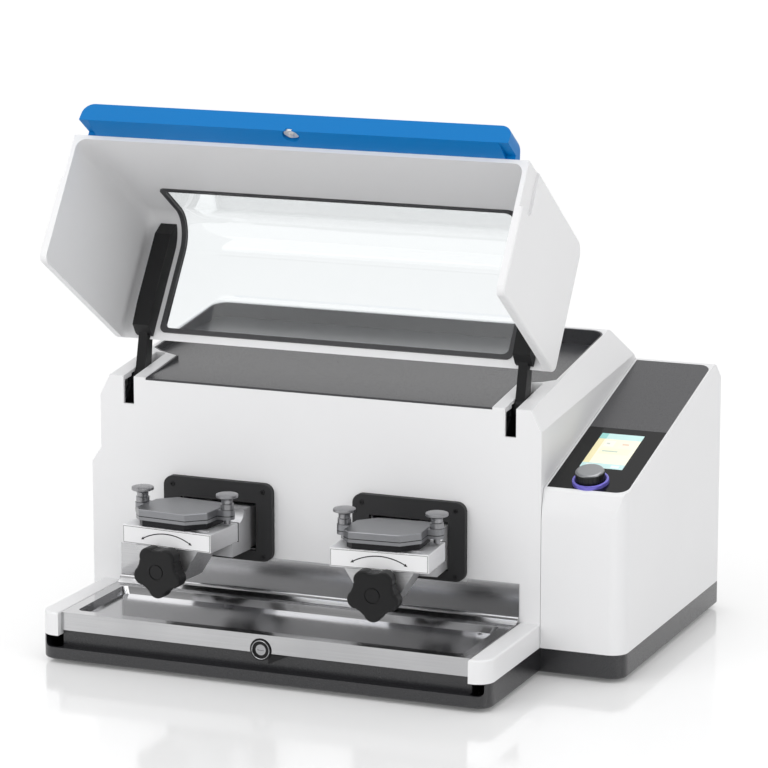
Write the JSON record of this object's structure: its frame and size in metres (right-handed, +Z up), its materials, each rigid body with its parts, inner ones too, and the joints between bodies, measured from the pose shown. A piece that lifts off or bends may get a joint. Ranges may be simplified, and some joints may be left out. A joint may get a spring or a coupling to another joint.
{
  "type": "mixer mill",
  "caption": "Bench mixer mill with a hinged windowed safety lid over a steel drip tray, swinging clamp stations with grinding jars and a sloped control column.",
  "frame": {"origin": "middle of the footprint's bounding box, on the bench surface", "axes": "+Z up, +Y from the tray towards the rear panel, +X towards the control column"},
  "size_m": [0.694, 0.554, 0.6634],
  "materials": {
    "white_housing": "satin",
    "white_moulding": "satin",
    "dark_plastic": "matte",
    "black_plastic": "satin",
    "dark_frame": "matte",
    "stainless": "brushed",
    "polished": "polished",
    "alloy": "satin",
    "jar_steel": "brushed",
    "blue_strip": "gloss",
    "clear_pane": "clear",
    "gloss_black": "gloss",
    "screen": "lit",
    "violet_light": "lit",
    "soft_rubber": "matte",
    "board_green": "satin"
  },
  "bodies": {
    "base": {"base_plinth": "dark_plastic", "rubber_feet": "soft_rubber", "chassis_plate": "dark_frame", "main_housing": "white_moulding", "column_housing": "white_moulding", "top_inset_panel": "dark_plastic", "column_panel": "dark_plastic", "display_glass": "gloss_black", "display_screen": "screen", "encoder_light_ring": "violet_light", "drip_tray": "stainless", "lock_housing": "black_plastic", "hinge_brackets": "dark_frame", "left_seal_plate": "soft_rubber", "right_seal_plate": "soft_rubber", "housing_screws": "black_plastic", "drive_frame": "dark_frame", "shaft_bearings": "polished", "drive_belt": "soft_rubber", "motor_housing": "alloy", "control_board": "board_green", "rear_panel": "white_housing", "fan_housing": "black_plastic", "power_inlet": "black_plastic"},
    "lid": {"lid_shell": "white_moulding", "window_gasket": "soft_rubber", "window_pane": "clear_pane", "left_hinge_arm": "black_plastic", "right_hinge_arm": "black_plastic", "hinge_pins": "polished", "handle_strip": "blue_strip", "lid_striker": "polished"},
    "crank": {"crankshaft": "polished", "crank_pulley": "alloy"},
    "motor_rotor": {"motor_pulley": "alloy"},
    "encoder": {"encoder_plunger": "polished"},
    "dial": {"control_knob": "black_plastic"},
    "lock_button": {"lock_plunger": "polished"},
    "fan": {"fan_rotor": "black_plastic"},
    "mains_rocker": {"rocker_switch": "black_plastic"},
    "left_arm": {"left_swing_arm": "alloy"},
    "left_rod": {"left_conrod": "alloy"},
    "left_clamp": {"left_clamp_carriage": "alloy", "left_clamp_bracket": "alloy"},
    "left_knob": {"left_star_knob": "black_plastic", "left_clamp_spindle": "stainless"},
    "left_jar": {"left_jar_body": "jar_steel"},
    "left_lid": {"left_jar_lid": "jar_steel"},
    "left_screw_a": {"left_thumb_screw_a": "jar_steel"},
    "left_screw_b": {"left_thumb_screw_b": "jar_steel"},
    "right_arm": {"right_swing_arm": "alloy"},
    "right_rod": {"right_conrod": "alloy"},
    "right_clamp": {"right_clamp_carriage": "alloy", "right_clamp_bracket": "alloy"},
    "right_knob": {"right_star_knob": "black_plastic", "right_clamp_spindle": "stainless"},
    "right_jar": {"right_jar_body": "jar_steel"},
    "right_lid": {"right_jar_lid": "jar_steel"},
    "right_screw_a": {"right_thumb_screw_a": "jar_steel"},
    "right_screw_b": {"right_thumb_screw_b": "jar_steel"}
  },
  "joints": [
    {"name": "lid_hinge", "type": "hinge", "parent": "base", "child": "lid", "pos_m": [-0.0455, -0.067, 0.3145], "axis": [1, 0, 0], "range_deg": [0, 124]},
    {"name": "crank_spin", "type": "hinge", "parent": "base", "child": "crank", "pos_m": [-0.0473, 0.00771, 0.15], "axis": [0, 0, 1], "continuous": true},
    {"name": "motor_spin", "type": "hinge", "parent": "base", "child": "motor_rotor", "pos_m": [0.0972, 0.153, 0.107], "axis": [0, 0, 1], "continuous": true},
    {"name": "encoder_push", "type": "slide", "parent": "base", "child": "encoder", "axis": [0, 0.2636, -0.9646], "range_m": [0, 0.001], "stiffness_N_per_m": 2500, "springref_m": -0.0006},
    {"name": "dial_turn", "type": "hinge", "parent": "encoder", "child": "dial", "pos_m": [0.294, -0.07446, 0.23443], "axis": [0, -0.2636, 0.9646], "continuous": true},
    {"name": "lock_press", "type": "slide", "parent": "base", "child": "lock_button", "axis": [0, 1, 0], "range_m": [0, 0.002], "stiffness_N_per_m": 400, "springref_m": -0.001},
    {"name": "fan_spin", "type": "hinge", "parent": "base", "child": "fan", "pos_m": [0.0745, 0.258, 0.16], "axis": [0, 1, 0], "continuous": true},
    {"name": "mains_switch", "type": "hinge", "parent": "base", "child": "mains_rocker", "pos_m": [-0.2105, 0.27, 0.145], "axis": [1, 0, 0], "range_deg": [0, 12]},
    {"name": "left_arm_swing", "type": "hinge", "parent": "base", "child": "left_arm", "pos_m": [-0.1728, -0.087, 0.15], "axis": [0, 0, 1], "range_deg": [0, 9]},
    {"name": "left_rod_pivot", "type": "hinge", "parent": "left_arm", "child": "left_rod", "pos_m": [-0.16535, 0.00771, 0.146], "axis": [0, 0, 1], "range_deg": [-9, 0]},
    {"name": "left_clamp_slide", "type": "slide", "parent": "left_arm", "child": "left_clamp", "axis": [0.0785, 0.9969, 0], "range_m": [-0.006, 0]},
    {"name": "left_knob_turn", "type": "hinge", "parent": "left_clamp", "child": "left_knob", "pos_m": [-0.18457, -0.23654, 0.121], "axis": [0.0785, 0.9969, 0], "range_deg": [-361, 0]},
    {"name": "left_jar_lift", "type": "slide", "parent": "left_clamp", "child": "left_jar", "axis": [0, 0, -1], "range_m": [-0.05, 0]},
    {"name": "left_jar_lid_lift", "type": "slide", "parent": "left_jar", "child": "left_lid", "axis": [0, 0, -1], "range_m": [-0.03, 0]},
    {"name": "left_screw_a_turn", "type": "hinge", "parent": "left_lid", "child": "left_screw_a", "pos_m": [-0.2361, -0.19035, 0.19], "axis": [0, 0, 1], "continuous": true},
    {"name": "left_screw_b_turn", "type": "hinge", "parent": "left_lid", "child": "left_screw_b", "pos_m": [-0.1255, -0.18702, 0.19], "axis": [0, 0, 1], "continuous": true},
    {"name": "right_arm_swing", "type": "hinge", "parent": "base", "child": "right_arm", "pos_m": [0.0782, -0.087, 0.15], "axis": [0, 0, 1], "range_deg": [-9, 0]},
    {"name": "right_rod_pivot", "type": "hinge", "parent": "right_arm", "child": "right_rod", "pos_m": [0.07075, 0.00771, 0.146], "axis": [0, 0, 1], "range_deg": [0, 9]},
    {"name": "right_clamp_slide", "type": "slide", "parent": "right_arm", "child": "right_clamp", "axis": [-0.0785, 0.9969, 0], "range_m": [-0.006, 0]},
    {"name": "right_knob_turn", "type": "hinge", "parent": "right_clamp", "child": "right_knob", "pos_m": [0.08997, -0.23654, 0.121], "axis": [-0.0785, 0.9969, 0], "range_deg": [-361, 0]},
    {"name": "right_jar_lift", "type": "slide", "parent": "right_clamp", "child": "right_jar", "axis": [0, 0, -1], "range_m": [-0.05, 0]},
    {"name": "right_jar_lid_lift", "type": "slide", "parent": "right_jar", "child": "right_lid", "axis": [0, 0, -1], "range_m": [-0.03, 0]},
    {"name": "right_screw_a_turn", "type": "hinge", "parent": "right_lid", "child": "right_screw_a", "pos_m": [0.03184, -0.19898, 0.19], "axis": [0, 0, 1], "continuous": true},
    {"name": "right_screw_b_turn", "type": "hinge", "parent": "right_lid", "child": "right_screw_b", "pos_m": [0.14056, -0.17839, 0.19], "axis": [0, 0, 1], "continuous": true}
  ],
  "couplings": [
    {"joint": "motor_spin", "follows": "crank_spin", "ratio": 2.8},
    {"joint": "left_knob_turn", "follows": "left_clamp_slide", "rad_per_m": 1047.2},
    {"joint": "right_knob_turn", "follows": "right_clamp_slide", "rad_per_m": 1047.2},
    {"joint": "right_arm_swing", "follows": "left_arm_swing", "ratio": -1},
    {"joint": "left_rod_pivot", "follows": "left_arm_swing", "ratio": -1},
    {"joint": "right_rod_pivot", "follows": "left_arm_swing", "ratio": 1}
  ]
}
